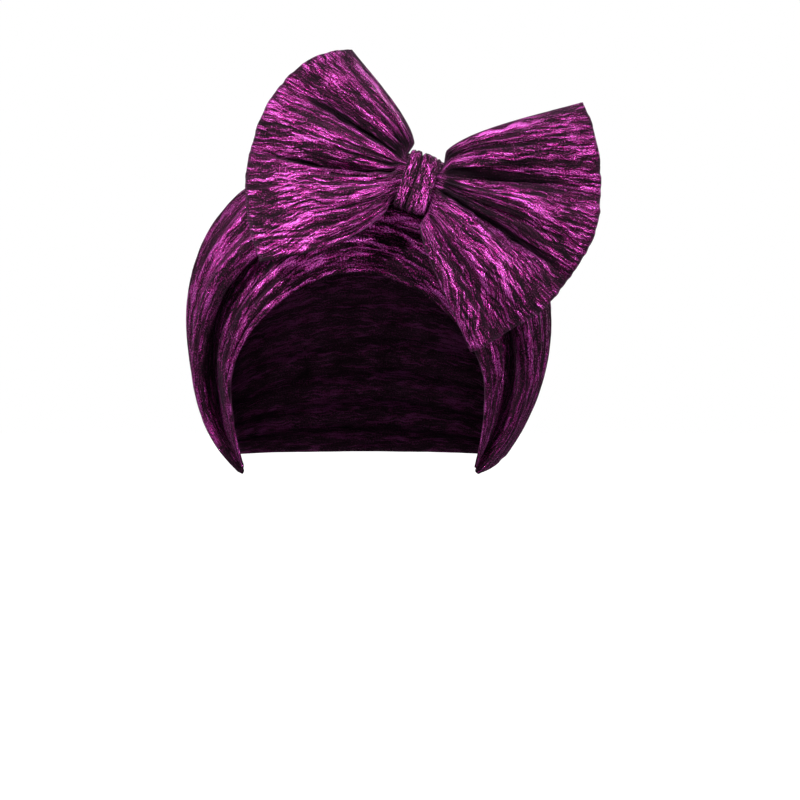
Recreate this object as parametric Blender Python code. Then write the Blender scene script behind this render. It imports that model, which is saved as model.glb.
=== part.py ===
"""Bow turban hat: a puffed, pleated head wrap with a brow band and a large tied bow.

Metres, +Z up. The face opening looks along -Y, and +X is on the right of someone who looks at
the face. The origin is the top centre of the head hollow, where the wrap bears on the head.
Sizes and places below are in millimetres, and MM turns them into metres when a mesh is made.
"""
import math
from collections import namedtuple

import bpy
import numpy as np

MM = 0.001

# Cloth
CROWN_WALL = 2.0
BAND_WALL = 2.0
PANEL_WALL = 2.4

# Crown: ear-to-ear arches, from the lip that is turned in at the brow, over the top, to the nape.
# An arch stands in the plane through its apex and its two corners. It is widest at `waist` of its
# height, and `roundness` is the exponent of its upper curve, 2 for an ellipse.
Arch = namedtuple("Arch", "name apex_y apex_z half_width centre_x "
                          "corner_half corner_centre corner_y corner_z waist roundness")

CROWN_ARCHES = (
    Arch("lip_end", -84.0, -19.6, 82.0, 3.4, 72.8, 1.8, -8.0, -149.0, 0.36, 1.92),
    Arch("lip_back", -92.0, -25.2, 82.4, 3.4, 71.0, 1.6, -11.0, -154.0, 0.37, 1.92),
    Arch("lip_turn", -100.8, -34.0, 84.0, 3.2, 67.6, 1.6, -14.5, -162.0, 0.39, 2.00),
    Arch("front_edge", -104.0, -38.8, 86.6, 3.0, 65.0, 1.6, -16.5, -168.6, 0.40, 2.06),
    Arch("front_roll", -105.6, -34.0, 88.4, 3.2, 65.8, 1.8, -16.0, -170.4, 0.41, 2.06),
    Arch("brow", -103.6, -23.4, 89.6, 4.0, 67.4, 2.6, -12.5, -170.0, 0.42, 2.08),
    Arch("rise", -95.0, -11.0, 92.4, 5.1, 69.4, 3.8, -8.5, -168.6, 0.43, 2.12),
    Arch("fore_top", -62.0, -1.2, 95.8, 6.2, 70.8, 5.2, -2.0, -165.4, 0.44, 2.20),
    Arch("top", -10.0, 1.0, 97.6, 6.7, 73.2, 6.2, 5.0, -163.0, 0.44, 2.22),
    Arch("back_top", 46.0, -4.6, 97.2, 6.6, 73.8, 6.2, 12.5, -161.6, 0.43, 2.18),
    Arch("upper_back", 92.0, -30.4, 94.8, 6.1, 73.8, 5.4, 19.5, -161.0, 0.42, 2.14),
    Arch("back", 117.0, -71.0, 91.2, 5.2, 73.4, 4.4, 25.5, -161.0, 0.40, 2.10),
    Arch("lower_back", 115.0, -113.0, 86.2, 4.0, 72.6, 3.2, 30.5, -161.2, 0.38, 2.06),
    Arch("nape_above", 100.0, -144.5, 79.4, 3.0, 71.2, 2.2, 34.5, -161.6, 0.34, 2.02),
    Arch("nape_rim", 86.0, -160.0, 73.4, 2.0, 69.2, 1.6, 37.5, -162.0, 0.30, 2.00),
)
CROWN_RIB_PITCH = 19.0
CROWN_RIB_HEIGHT = 1.5
CROWN_RIB_DRIFT = 2.6
CROWN_RIB_START = 40.0
CROWN_RIB_END = 12.0
CROWN_RIB_FADE = (0.60, 0.96)
CROWN_RIB_SHARPNESS = 1.4
CROWN_DRIFT_ALONG = (31.0, 47.0)
CROWN_DRIFT_ACROSS = 5.0
CROWN_GRID = (60, 24)

# Brow band: arches from the edge that frames the face to the edge tucked under the crown's lip.
BAND_ARCHES = (
    Arch("face_edge", -96.5, -63.4, 68.2, 1.0, 62.6, 1.4, -21.4, -167.0, 0.40, 1.76),
    Arch("low", -99.8, -56.0, 69.8, 1.3, 63.2, 1.4, -20.2, -167.2, 0.40, 1.78),
    Arch("middle", -100.6, -48.0, 71.9, 1.9, 63.2, 1.4, -18.2, -166.8, 0.40, 1.80),
    Arch("high", -98.6, -39.5, 74.8, 2.7, 62.4, 1.4, -15.2, -165.8, 0.40, 1.84),
    Arch("outer_turn", -94.2, -32.0, 77.4, 3.2, 61.0, 1.4, -10.0, -164.6, 0.41, 1.88),
    Arch("tucked", -87.4, -25.6, 79.0, 3.4, 60.8, 1.4, -6.5, -163.4, 0.41, 1.92),
    Arch("tucked_end", -80.6, -20.8, 79.2, 3.4, 60.6, 1.4, -2.5, -162.4, 0.41, 1.92),
)
BAND_RIB_PITCH = 8.5
BAND_RIB_HEIGHT = 0.8
BAND_RIB_FADE = (0.55, 0.90)
BAND_RIB_END = (0.55, 0.75)
BAND_DRIFT = 0.8
BAND_DRIFT_ACROSS = 4.0
BAND_GRID = (14, 24)

# Bow: both wings fan out from the knot. A row is one line of the fan, from the knot to the outer
# edge: its share of the way down the panel, its angle above the horizontal, its reach from the
# knot, how far its outer end lies behind the knot, the height of the fold (towards the front),
# its height on the knot, and how far its middle bows upwards.
Fold = namedtuple("Fold", "name share angle reach back fold neck bow")
# A wing's side is -1 or 1 along X. Its fan lines bow most near the knot, and the more so the
# smaller the power is, which runs from `top_power` at the top of the fan to `bottom_power`.
Wing = namedtuple("Wing", "side top_power bottom_power folds")

KNOT_CENTRE = (32.6, -110.55, -18.8)
KNOT_TILT = 18.0
KNOT_LEAN = 0.24

LEFT_WING = Wing(-1.0, 0.47, 0.77, (
    Fold("top_edge", 0.00, 65.0, 82.0, 26.0, -3.0, 11.2, 8.0),
    Fold("top_crest", 0.13, 53.0, 87.2, 21.0, 9.0, 10.6, 5.5),
    Fold("valley_a", 0.29, 39.0, 90.2, 20.0, -9.0, 9.2, 1.0),
    Fold("middle_crest", 0.42, 26.0, 89.8, 20.0, 7.0, 7.8, -2.0),
    Fold("valley_b", 0.56, 12.5, 89.4, 19.0, -9.0, 6.0, -5.5),
    Fold("lower_lip", 0.61, 9.5, 89.6, 18.0, 3.0, 4.6, -5.5),
    Fold("lower_crest", 0.80, -8.5, 89.6, 15.0, 10.0, -3.0, -6.5),
    Fold("bottom_edge", 1.00, -26.7, 90.6, 7.0, 1.0, -11.2, -8.5),
))
RIGHT_WING = Wing(1.0, 0.47, 0.45, (
    Fold("top_edge", 0.00, 27.4, 98.2, 22.0, -2.0, 11.2, 8.6),
    Fold("top_crest", 0.13, 13.5, 96.8, 20.0, 8.0, 10.0, 7.0),
    Fold("valley_a", 0.28, -1.0, 96.0, 21.0, -8.0, 8.0, 0.0),
    Fold("middle_crest", 0.40, -13.0, 96.0, 20.0, 7.0, 5.4, -1.0),
    Fold("valley_b", 0.49, -21.5, 94.6, 20.0, 0.0, 3.2, 0.0),
    Fold("small_crest", 0.53, -25.5, 93.6, 20.0, 3.0, 2.0, 0.0),
    Fold("valley_c", 0.59, -31.5, 92.6, 21.0, -9.0, 0.4, 0.0),
    Fold("lower_crest", 0.73, -45.0, 91.8, 20.0, 8.0, -4.6, -1.0),
    Fold("valley_d", 0.88, -59.5, 89.6, 22.0, -4.0, -8.6, -4.0),
    Fold("side_crest", 0.94, -66.0, 90.4, 21.0, 4.0, -10.0, -5.5),
    Fold("side_edge", 1.00, -72.4, 91.4, 22.0, -3.0, -11.2, -7.0),
))
NECK_HALF_HEIGHT = 12.0
NECK_HALF_DEPTH = 7.0
NECK_HALF_LENGTH = 8.8
WING_SWELL = 4.0
NECK_FADE = (0.02, 0.42)
KNOT_CLEARANCE = 0.09
FOLD_RISE = 0.34
FOLD_EASE = 0.50
FOLD_EASE_START = 0.35
REACH_POWER = 1.15
PANEL_GRID = (36, 22)
NECK_SPANS = 4
STEEPEST_FACING = 0.42

# Knot: a strip wrapped round the neck, with folds that run along it.
KNOT_GAP = 0.4
KNOT_WALL = 3.0
KNOT_HALF_WIDTH = 8.4
KNOT_FOLDS = 3
KNOT_FOLD_DEPTH = 0.7
KNOT_EDGE_POWER = 0.8
KNOT_FACE_POWER = 0.6
KNOT_GRID = (28, 14)

# Points along an arch before they are respaced evenly
ARCH_STEPS = 240

# Finishes: colour, roughness and metallic value
FOIL = ((0.235, 0.022, 0.200), 0.38, 0.65)
FOIL_SHADE = ((0.150, 0.018, 0.130), 0.45, 0.55)


def smooth_step(low, high, value):
    """Return 0 below low and 1 above high, with a smooth rise between them."""
    share = np.clip((value - low) / (high - low), 0.0, 1.0)
    return share * share * (3.0 - 2.0 * share)


def smooth_rows(knots, values, at):
    """Return the rows of values read at places along knots, on a smooth curve through them."""
    slopes = np.gradient(values, knots, axis=0)
    low = np.clip(np.searchsorted(knots, at, side="right") - 1, 0, len(knots) - 2)
    width = (knots[low + 1] - knots[low])[:, None]
    share = ((at - knots[low])[:, None]) / width
    start, end = values[low], values[low + 1]
    rise = end - start
    first, last = slopes[low] * width, slopes[low + 1] * width
    bend = (share - 1.0) ** 2 * first + share * (share - 1.0) * last
    return start + share * share * (3.0 - 2.0 * share) * rise + share * bend


def arch_lines(arches, rows, count):
    """Return points of arches spread evenly along a table, with each one's run from the first."""
    table = np.array([arch[1:] for arch in arches])
    knots = np.concatenate([[0.0], np.cumsum(np.linalg.norm(np.diff(table[:, :2], axis=0), axis=1))])
    run = np.linspace(0.0, knots[-1], rows)
    (apex_y, apex_z, half_width, centre_x, corner_half, corner_centre,
     corner_y, corner_z, waist, roundness) = smooth_rows(knots, table, run).T[:, :, None]
    foot = np.arccos(np.clip(corner_half / half_width, 0.0, 1.0))
    turn = np.linspace(0.0, 1.0, ARCH_STEPS)[None, :]
    angle = -foot + (math.pi + 2.0 * foot) * turn
    rise = np.sin(angle)
    upper = (np.abs(np.cos(angle)) ** roundness + np.abs(rise) ** roundness) ** (-1.0 / roundness)
    stretch = np.where(rise > 0.0, upper, 1.0)
    height = np.where(rise > 0.0, waist + (1.0 - waist) * stretch * rise,
                      waist + waist * rise / np.sin(foot))
    centre = corner_centre + (centre_x - corner_centre) * smooth_step(0.0, 1.0, height / waist)
    x = centre - half_width * stretch * np.cos(angle)
    y = corner_y + (apex_y - corner_y) * height
    z = corner_z + (apex_z - corner_z) * height
    return even_spaced(np.stack([x, y, z], axis=2), count), run


def even_spaced(lines, count):
    """Return each line of points respaced to count points at even steps along it."""
    steps = np.linalg.norm(np.diff(lines, axis=1), axis=2)
    run = np.concatenate([np.zeros((len(lines), 1)), np.cumsum(steps, axis=1)], axis=1)
    wanted = np.linspace(0.0, 1.0, count)[None, :] * run[:, -1:]
    high = (run[:, None, :] < wanted[:, :, None]).sum(axis=2)
    high = np.clip(high, 1, run.shape[1] - 1)
    run_low = np.take_along_axis(run, high - 1, axis=1)
    run_high = np.take_along_axis(run, high, axis=1)
    share = ((wanted - run_low) / (run_high - run_low))[:, :, None]
    low_points = np.take_along_axis(lines, (high - 1)[:, :, None], axis=1)
    high_points = np.take_along_axis(lines, high[:, :, None], axis=1)
    return low_points + share * (high_points - low_points)


def outward(grid):
    """Return the unit normals of a grid of points, on its outer side."""
    along = np.gradient(grid, axis=1)
    down = np.gradient(grid, axis=0)
    normal = np.cross(along, down)
    return normal / np.linalg.norm(normal, axis=2, keepdims=True)


def crown_middle(rows, count):
    """Return the middle surface of the crown's wall, with ribs that fade towards the ears."""
    grid, run = arch_lines(CROWN_ARCHES, rows + 1, count + 1)
    across = np.linspace(-1.0, 1.0, count + 1)[None, :]
    place = run[:, None]
    straight = np.sin(place / CROWN_DRIFT_ALONG[0])
    slanted = np.sin(CROWN_DRIFT_ACROSS * across + place / CROWN_DRIFT_ALONG[1])
    phase = 2.0 * math.pi * (place + CROWN_RIB_DRIFT * (straight + slanted)) / CROWN_RIB_PITCH
    fade = 1.0 - smooth_step(*CROWN_RIB_FADE, np.abs(across))
    begin = smooth_step(CROWN_RIB_START - CROWN_RIB_PITCH, CROWN_RIB_START, place)
    end = 1.0 - smooth_step(run[-1] - CROWN_RIB_END, run[-1], place)
    crest = 1.0 - 2.0 * np.abs(np.sin(0.5 * phase)) ** CROWN_RIB_SHARPNESS
    rib = CROWN_RIB_HEIGHT * crest
    return grid + (rib * fade * begin * end)[:, :, None] * outward(grid)


def band_middle(rows, count):
    """Return the middle surface of the band's wall, with ribs that follow the face's edge."""
    grid, run = arch_lines(BAND_ARCHES, rows + 1, count + 1)
    across = np.linspace(-1.0, 1.0, count + 1)[None, :]
    drift = BAND_DRIFT * np.sin(BAND_DRIFT_ACROSS * across)
    phase = 2.0 * math.pi * run[:, None] / BAND_RIB_PITCH + drift
    fade = 1.0 - smooth_step(*BAND_RIB_FADE, np.abs(across))
    end = 1.0 - smooth_step(*BAND_RIB_END, run / run[-1])[:, None]
    rib = BAND_RIB_HEIGHT * np.cos(phase) * fade * end
    return grid + rib[:, :, None] * outward(grid)


def fold_curve(folds, share, column):
    """Return a column of the fold table along the panel: round crests and sharp valleys."""
    knots = np.array([fold.share for fold in folds])
    values = np.array([getattr(fold, column) for fold in folds])
    low = np.clip(np.searchsorted(knots, share, side="right") - 1, 0, len(knots) - 2)
    part = (share - knots[low]) / (knots[low + 1] - knots[low])
    start, end = values[low], values[low + 1]
    rising = np.sin(0.5 * math.pi * part)
    falling = 1.0 - np.cos(0.5 * math.pi * part)
    return start + (end - start) * np.where(end > start, rising, falling)


def plain_curve(folds, share, column):
    """Return a column of the fold table along the panel on a smooth curve."""
    knots = np.array([fold.share for fold in folds])
    values = np.array([[getattr(fold, column)] for fold in folds])
    return smooth_rows(knots, values, share)[:, 0]


def wing_lines(wing, share, reach):
    """Return a wing's middle surface as x, y, z and its height in the neck, outwards from the knot.

    The middle of each fan line is a straight run from the knot to the outer edge, bowed to one
    side by a half sine that peaks towards the knot. Its depth is the fold's height, which swells
    and eases along the run.
    """
    side, folds = wing.side, wing.folds
    tilt = math.radians(KNOT_TILT)
    up = np.array([math.sin(tilt), math.cos(tilt)])
    out = np.array([math.cos(tilt), -math.sin(tilt)]) * side
    neck = plain_curve(folds, share, "neck")[:, None]
    angle = np.radians(plain_curve(folds, share, "angle"))[:, None]
    length = plain_curve(folds, share, "reach")[:, None]
    start_x = neck * up[0] + out[0] * NECK_HALF_LENGTH
    start_z = neck * up[1] + out[1] * NECK_HALF_LENGTH
    end_x = side * length * np.cos(angle)
    end_z = length * np.sin(angle)
    power = (wing.top_power + (wing.bottom_power - wing.top_power) * share)[:, None]
    bow = plain_curve(folds, share, "bow")[:, None] * np.sin(math.pi * reach[None, :] ** power)
    bow = bow * smooth_step(0.0, KNOT_CLEARANCE, reach)
    span = np.hypot(end_x - start_x, end_z - start_z)
    x = start_x + (end_x - start_x) * reach - side * bow * (end_z - start_z) / span
    z = start_z + (end_z - start_z) * reach + side * bow * (end_x - start_x) / span
    back = plain_curve(folds, share, "back")[:, None] * reach ** 2
    ease = 1.0 - FOLD_EASE * smooth_step(FOLD_EASE_START, 1.0, reach)
    grow = smooth_step(0.0, FOLD_RISE, reach) * ease
    depth = fold_curve(folds, share, "fold")[:, None] * grow
    y = back - depth - WING_SWELL * np.sin(math.pi * reach)
    return x, y, z, neck + 0.0 * reach


def panel_faces(share, spans):
    """Return the bow panel's back and front surfaces, from the left wing's edge to the right's.

    In the neck the panel is one gathered bundle with an oval section. Past the knot it opens
    into a sheet. Both faces lie straight behind and before the middle surface, further off where
    it is steep, so that the wall stays even.
    """
    inside = np.linspace(-1.0, 1.0, NECK_SPANS + 1)[1:-1]
    reach = np.linspace(0.0, 1.0, spans + 1) ** REACH_POWER
    left = wing_lines(LEFT_WING, share, reach)
    right = wing_lines(RIGHT_WING, share, reach)
    tilt = math.radians(KNOT_TILT)
    mix = 0.5 + 0.5 * inside[None, :]
    neck = left[3][:, :1] * (1.0 - mix) + right[3][:, :1] * mix
    along = NECK_HALF_LENGTH * inside[None, :]
    neck_x = neck * math.sin(tilt) + along * math.cos(tilt)
    neck_z = neck * math.cos(tilt) - along * math.sin(tilt)
    parts = [
        np.concatenate([left[0][:, ::-1], neck_x, right[0]], axis=1),
        np.concatenate([left[1][:, ::-1], 0.0 * neck_x, right[1]], axis=1),
        np.concatenate([left[2][:, ::-1], neck_z, right[2]], axis=1),
    ]
    height = np.concatenate([left[3][:, ::-1], neck, right[3]], axis=1)
    opened = smooth_step(*NECK_FADE, reach)
    sheet = np.concatenate([opened[::-1], 0.0 * inside, opened])[None, :]
    middle = np.stack(parts, axis=2)
    level = np.clip(height / NECK_HALF_HEIGHT, -1.0, 1.0)
    bundle = np.maximum(NECK_HALF_DEPTH * np.sqrt(1.0 - level ** 2), 0.5 * PANEL_WALL)
    facing = np.maximum(np.abs(outward(middle)[:, :, 1]), STEEPEST_FACING)
    half = sheet * (0.5 * PANEL_WALL) / facing + (1.0 - sheet) * bundle
    shift = half[:, :, None] * np.array([0.0, 1.0, 0.0])
    return set_on_head(middle + shift), set_on_head(middle - shift)


def set_on_head(points):
    """Return bow points moved to the knot's place on the brow, leaning back with height."""
    placed = points + np.array(KNOT_CENTRE)
    placed[..., 1] += KNOT_LEAN * points[..., 2]
    return placed


def knot_ring(around, profile):
    """Return the knot: a folded strip section carried round the oval neck."""
    turn = np.linspace(0.0, 2.0 * math.pi, around, endpoint=False)[:, None]
    spin = np.linspace(0.0, 2.0 * math.pi, profile, endpoint=False)[None, :]
    across = KNOT_HALF_WIDTH * np.sign(np.cos(spin)) * np.abs(np.cos(spin)) ** KNOT_EDGE_POWER
    lift = 0.5 + 0.5 * np.sign(np.sin(spin)) * np.abs(np.sin(spin)) ** KNOT_FACE_POWER
    fold = np.abs(np.sin(0.5 * math.pi * KNOT_FOLDS * (across / KNOT_HALF_WIDTH + 1.0)))
    groove = KNOT_FOLD_DEPTH * (1.0 - fold) * smooth_step(0.5, 0.9, lift)
    wall = KNOT_GAP + KNOT_WALL * lift - groove
    up = (NECK_HALF_HEIGHT + wall) * np.sin(turn)
    out = (NECK_HALF_DEPTH + wall) * np.cos(turn)
    tilt = math.radians(KNOT_TILT)
    x = up * math.sin(tilt) + across * math.cos(tilt)
    z = up * math.cos(tilt) - across * math.sin(tilt)
    return set_on_head(np.stack([x, -out + 0.0 * across, z], axis=2))


def grid_faces(rows, columns, offset=0):
    """Return the quads of an open grid of points, wound to face outwards."""
    index = offset + np.arange(rows * columns).reshape(rows, columns)
    quads = np.stack([index[:-1, :-1], index[:-1, 1:], index[1:, 1:], index[1:, :-1]], axis=2)
    return quads.reshape(-1, 4)


def shell_faces(rows, columns):
    """Return the quads of a wall: an outer grid, an inner grid and the rim between them."""
    outer = grid_faces(rows, columns)
    inner = grid_faces(rows, columns, rows * columns)[:, ::-1]
    index = np.arange(rows * columns).reshape(rows, columns)
    edge = np.concatenate([index[0, :-1], index[:-1, -1], index[-1, :0:-1], index[:0:-1, 0]])
    ahead = np.roll(edge, -1)
    rim = np.stack([ahead, edge, edge + rows * columns, ahead + rows * columns], axis=1)
    return np.concatenate([outer, inner, rim])


def ring_faces(rows, columns):
    """Return the quads of a grid of points that closes on itself both ways."""
    index = np.arange(rows * columns).reshape(rows, columns)
    right, below = np.roll(index, -1, axis=1), np.roll(index, -1, axis=0)
    corner = np.roll(below, -1, axis=1)
    return np.stack([index, below, corner, right], axis=2).reshape(-1, 4)


def make_material(name, finish):
    """Return a plain material with a colour, a roughness and a metallic value."""
    colour, roughness, metallic = finish
    material = bpy.data.materials.new(name)
    material.use_nodes = True
    shader = material.node_tree.nodes["Principled BSDF"]
    shader.inputs["Base Color"].default_value = (*colour, 1.0)
    shader.inputs["Roughness"].default_value = roughness
    shader.inputs["Metallic"].default_value = metallic
    return material


def make_object(name, points, faces, finish):
    """Add one named piece from millimetre points and quads."""
    mesh = bpy.data.meshes.new(name)
    mesh.from_pydata((points.reshape(-1, 3) * MM).tolist(), [], faces.tolist())
    mesh.shade_smooth()
    mesh.materials.append(make_material(name + "_cloth", finish))
    piece = bpy.data.objects.new(name, mesh)
    bpy.context.scene.collection.objects.link(piece)
    return piece


def make_wall(name, middle, wall, finish):
    """Add a cloth wall of even thickness about its middle surface."""
    shift = 0.5 * wall * outward(middle)
    points = np.stack([middle + shift, middle - shift])
    make_object(name, points, shell_faces(*middle.shape[:2]), finish)


def make_crown():
    """Add the crown."""
    make_wall("crown", crown_middle(*CROWN_GRID), CROWN_WALL, FOIL_SHADE)


def make_brow_band():
    """Add the band round the face opening."""
    make_wall("brow_band", band_middle(*BAND_GRID), BAND_WALL, FOIL_SHADE)


def make_bow_panel():
    """Add the bow's gathered panel."""
    share = np.linspace(0.0, 1.0, PANEL_GRID[0] + 1)
    spans = (PANEL_GRID[1] - NECK_SPANS) // 2
    back, front = panel_faces(share, spans)
    make_object("bow_panel", np.stack([back, front]), shell_faces(*back.shape[:2]), FOIL)


def make_bow_knot():
    """Add the knot round the bow's neck."""
    make_object("bow_knot", knot_ring(*KNOT_GRID), ring_faces(*KNOT_GRID), FOIL)


def main():
    """Clear the scene and add the hat's pieces."""
    for leftover in list(bpy.data.objects):
        bpy.data.objects.remove(leftover, do_unlink=True)
    make_crown()
    make_brow_band()
    make_bow_panel()
    make_bow_knot()


main()
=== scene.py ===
"""Looks of the bow turban hat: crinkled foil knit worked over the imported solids.

The shape tables are in millimetres and repeat the part's own values. MM turns them into metres
when a mesh is made. +Z is up, the face opening looks along -Y, and the origin is the top centre
of the head hollow.
"""

import logging
import math
from collections.abc import Sequence
from dataclasses import astuple, dataclass, fields
from enum import Enum

import bpy
import numpy as np
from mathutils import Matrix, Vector

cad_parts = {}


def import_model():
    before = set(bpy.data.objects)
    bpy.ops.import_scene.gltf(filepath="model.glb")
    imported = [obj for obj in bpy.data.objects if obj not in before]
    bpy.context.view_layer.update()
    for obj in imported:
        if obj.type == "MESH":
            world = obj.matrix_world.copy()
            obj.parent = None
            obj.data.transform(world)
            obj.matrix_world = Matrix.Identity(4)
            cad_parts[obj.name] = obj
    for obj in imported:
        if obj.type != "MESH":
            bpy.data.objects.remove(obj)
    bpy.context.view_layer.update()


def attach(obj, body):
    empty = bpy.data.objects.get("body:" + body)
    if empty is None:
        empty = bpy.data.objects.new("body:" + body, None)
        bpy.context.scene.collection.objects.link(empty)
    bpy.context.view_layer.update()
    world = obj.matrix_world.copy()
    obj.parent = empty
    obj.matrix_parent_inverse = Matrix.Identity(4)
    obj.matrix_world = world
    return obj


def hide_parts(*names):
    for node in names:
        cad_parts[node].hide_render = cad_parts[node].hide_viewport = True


LOG = logging.getLogger("bow_turban")
MM = 0.001
ROOT = "root"
# Point attributes that the cloth material reads; the second is a mask of painted shade in folds.
LOOKS = ("crest", "shaded", "dull")
UV_NAME = "cloth"
EDGE_LEAST = 0.08
Colour = tuple[float, float, float]
Floats = np.ndarray


def smooth_step(low: float, high: float, value: Floats) -> Floats:
    """Return a smooth rise from 0 to 1: with t the share of the way, 3t² - 2t³.

    Args:
        low: Value at which the rise starts.
        high: Value at which it ends.
        value: Where to read it.

    Returns:
        The rise at each value.
    """
    share = np.clip((value - low) / (high - low), 0.0, 1.0)
    return share * share * (3.0 - 2.0 * share)


def smooth_rows(knots: Floats, values: Floats, at: Floats) -> Floats:
    """Return rows of a table read on a smooth curve: a cubic between each two rows, by slopes.

    Args:
        knots: Place of each row.
        values: The rows.
        at: Places to read.

    Returns:
        One row for each place.
    """
    slopes = np.gradient(values, knots, axis=0)
    low = np.clip(np.searchsorted(knots, at, side="right") - 1, 0, len(knots) - 2)
    width = (knots[low + 1] - knots[low])[:, None]
    share = ((at - knots[low])[:, None]) / width
    start, end = values[low], values[low + 1]
    rise = end - start
    first, last = slopes[low] * width, slopes[low + 1] * width
    bend = (share - 1.0) ** 2 * first + share * (share - 1.0) * last
    return start + share * share * (3.0 - 2.0 * share) * rise + share * bend


def outward(grid: Floats) -> Floats:
    """Return unit normals of a grid of points: the cross product of its two steps.

    Args:
        grid: Points, rows by columns by three.

    Returns:
        One normal for each point.
    """
    normal = np.cross(np.gradient(grid, axis=1), np.gradient(grid, axis=0))
    return normal / np.maximum(np.linalg.norm(normal, axis=2, keepdims=True), 1e-9)


def run_along(lines: Floats) -> Floats:
    """Return each point's distance along its line, one line a row."""
    steps = np.linalg.norm(np.diff(lines, axis=1), axis=2)
    return np.concatenate([np.zeros((len(lines), 1)), np.cumsum(steps, axis=1)], axis=1)


def even_spaced(lines: Floats, count: int) -> Floats:
    """Return lines respaced to even steps: each is read at equal shares of its own length.

    Args:
        lines: Points, one line a row.
        count: Points wanted on each line.

    Returns:
        The respaced points.
    """
    run = run_along(lines)
    wanted = np.linspace(0.0, 1.0, count)[None, :] * run[:, -1:]
    high = np.clip((run[:, None, :] < wanted[:, :, None]).sum(axis=2), 1, run.shape[1] - 1)
    run_low = np.take_along_axis(run, high - 1, axis=1)
    run_high = np.take_along_axis(run, high, axis=1)
    share = ((wanted - run_low) / (run_high - run_low))[:, :, None]
    low_points = np.take_along_axis(lines, (high - 1)[:, :, None], axis=1)
    high_points = np.take_along_axis(lines, high[:, :, None], axis=1)
    return low_points + share * (high_points - low_points)


def scatter(i: Floats, j: Floats, seed: float) -> Floats:
    """Return fixed scattered values from 0 to 1: the fraction of a large multiple of a sine."""
    value = np.sin(i * 127.1 + j * 311.7 + seed * 74.7) * 43758.5453
    return value - np.floor(value)


def drift(x: Floats, y: Floats, seed: float) -> Floats:
    """Return smooth noise from -1 to 1: scattered values joined smoothly between whole places.

    Args:
        x: First coordinate, one noise cell a unit.
        y: Second coordinate.
        seed: Which noise.

    Returns:
        The noise at each place.
    """
    x, y = np.broadcast_arrays(x, y)
    i, j = np.floor(x), np.floor(y)
    a, b = x - i, y - j
    a, b = a * a * (3.0 - 2.0 * a), b * b * (3.0 - 2.0 * b)
    top = scatter(i, j, seed) * (1.0 - a) + scatter(i + 1.0, j, seed) * a
    low = scatter(i, j + 1.0, seed) * (1.0 - a) + scatter(i + 1.0, j + 1.0, seed) * a
    return 2.0 * (top * (1.0 - b) + low * b) - 1.0


@dataclass(frozen=True)
class Crinkle:
    """The fine pleats that the cloth is set in, in millimetres.

    Attributes:
        pitch: Mean width of a pleat.
        height: Half the height of a pleat.
        streak: Length over which a pleat keeps its shape.
        wander: How far pleats wander sideways, in pitches.
        seed: Which pattern.
    """

    pitch: float
    height: float
    streak: float
    wander: float
    seed: float

    def relief(self, along: Floats, across: Floats) -> Floats:
        """Return the pleats' height from -1 to 1.

        Long narrow noise is folded at zero, which leaves broad ridges between thin creases that
        fork and run out. A sine across the pleats, whose phase wanders with two layers of noise,
        and a short noise are mixed into it.

        Args:
            along: Distance along the pleats.
            across: Distance across them.

        Returns:
            The height at each place.
        """
        cell = self.pitch
        wide = drift(along / (1.6 * self.streak), across / (2.6 * cell), self.seed)
        close = drift(along / (0.35 * self.streak), across / (1.1 * cell), self.seed + 1.0)
        shifted = across + cell * self.wander * (0.9 * wide + 0.45 * close)
        folded = np.abs(drift(along / self.streak, shifted / (0.62 * cell), self.seed + 2.0))
        ridges = 2.0 * np.minimum(1.5 * folded, 1.0) ** 0.55 - 1.0
        wave = np.sin(2.0 * math.pi * shifted / cell)
        broken = drift(along / (0.18 * self.streak), across / (0.45 * cell), self.seed + 3.0)
        return np.clip(0.62 * ridges + 0.28 * wave + 0.22 * broken, -1.0, 1.0)


@dataclass(frozen=True)
class Arch:
    """One ear-to-ear arch of a wrap, in millimetres.

    It stands in the plane through its apex and its two corners, is widest at `waist` of its
    height, and `roundness` is the exponent of its upper curve, 2 for an ellipse.
    """

    apex_y: float
    apex_z: float
    half_width: float
    centre_x: float
    corner_half: float
    corner_centre: float
    corner_y: float
    corner_z: float
    waist: float
    roundness: float


@dataclass(frozen=True)
class ArchSheet:
    """A surface through a row of arches.

    Attributes:
        arches: The arches in order.
        steps: Points along an arch before it is respaced evenly.
    """

    arches: tuple[Arch, ...]
    steps: int = 480

    def lines(self, rows: int, columns: int) -> tuple[Floats, Floats]:
        """Return the surface's points and each row's run from the first arch.

        The upper part of an arch is a superellipse in polar form and the lower part an ellipse
        that ends at the corners. Rows are read on a smooth curve through the table.

        Args:
            rows: Arches wanted.
            columns: Points along each.

        Returns:
            Points, rows by columns by three, and the run of each row along the apexes.
        """
        table = np.array([astuple(arch) for arch in self.arches])
        knots = run_along(table[None, :, :2])[0]
        run = np.linspace(0.0, knots[-1], rows)
        (apex_y, apex_z, half_width, centre_x, corner_half, corner_centre,
         corner_y, corner_z, waist, roundness) = smooth_rows(knots, table, run).T[:, :, None]
        foot = np.arccos(np.clip(corner_half / half_width, 0.0, 1.0))
        turn = np.linspace(0.0, 1.0, self.steps)[None, :]
        angle = -foot + (math.pi + 2.0 * foot) * turn
        rise = np.sin(angle)
        sides = np.abs(np.cos(angle)) ** roundness + np.abs(rise) ** roundness
        stretch = np.where(rise > 0.0, sides ** (-1.0 / roundness), 1.0)
        height = np.where(rise > 0.0, waist + (1.0 - waist) * stretch * rise,
                          waist + waist * rise / np.sin(foot))
        lean = smooth_step(0.0, 1.0, height / waist)
        centre = corner_centre + (centre_x - corner_centre) * lean
        x = centre - half_width * stretch * np.cos(angle)
        y = corner_y + (apex_y - corner_y) * height
        z = corner_z + (apex_z - corner_z) * height
        return even_spaced(np.stack([x, y, z], axis=2), columns), run


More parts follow.
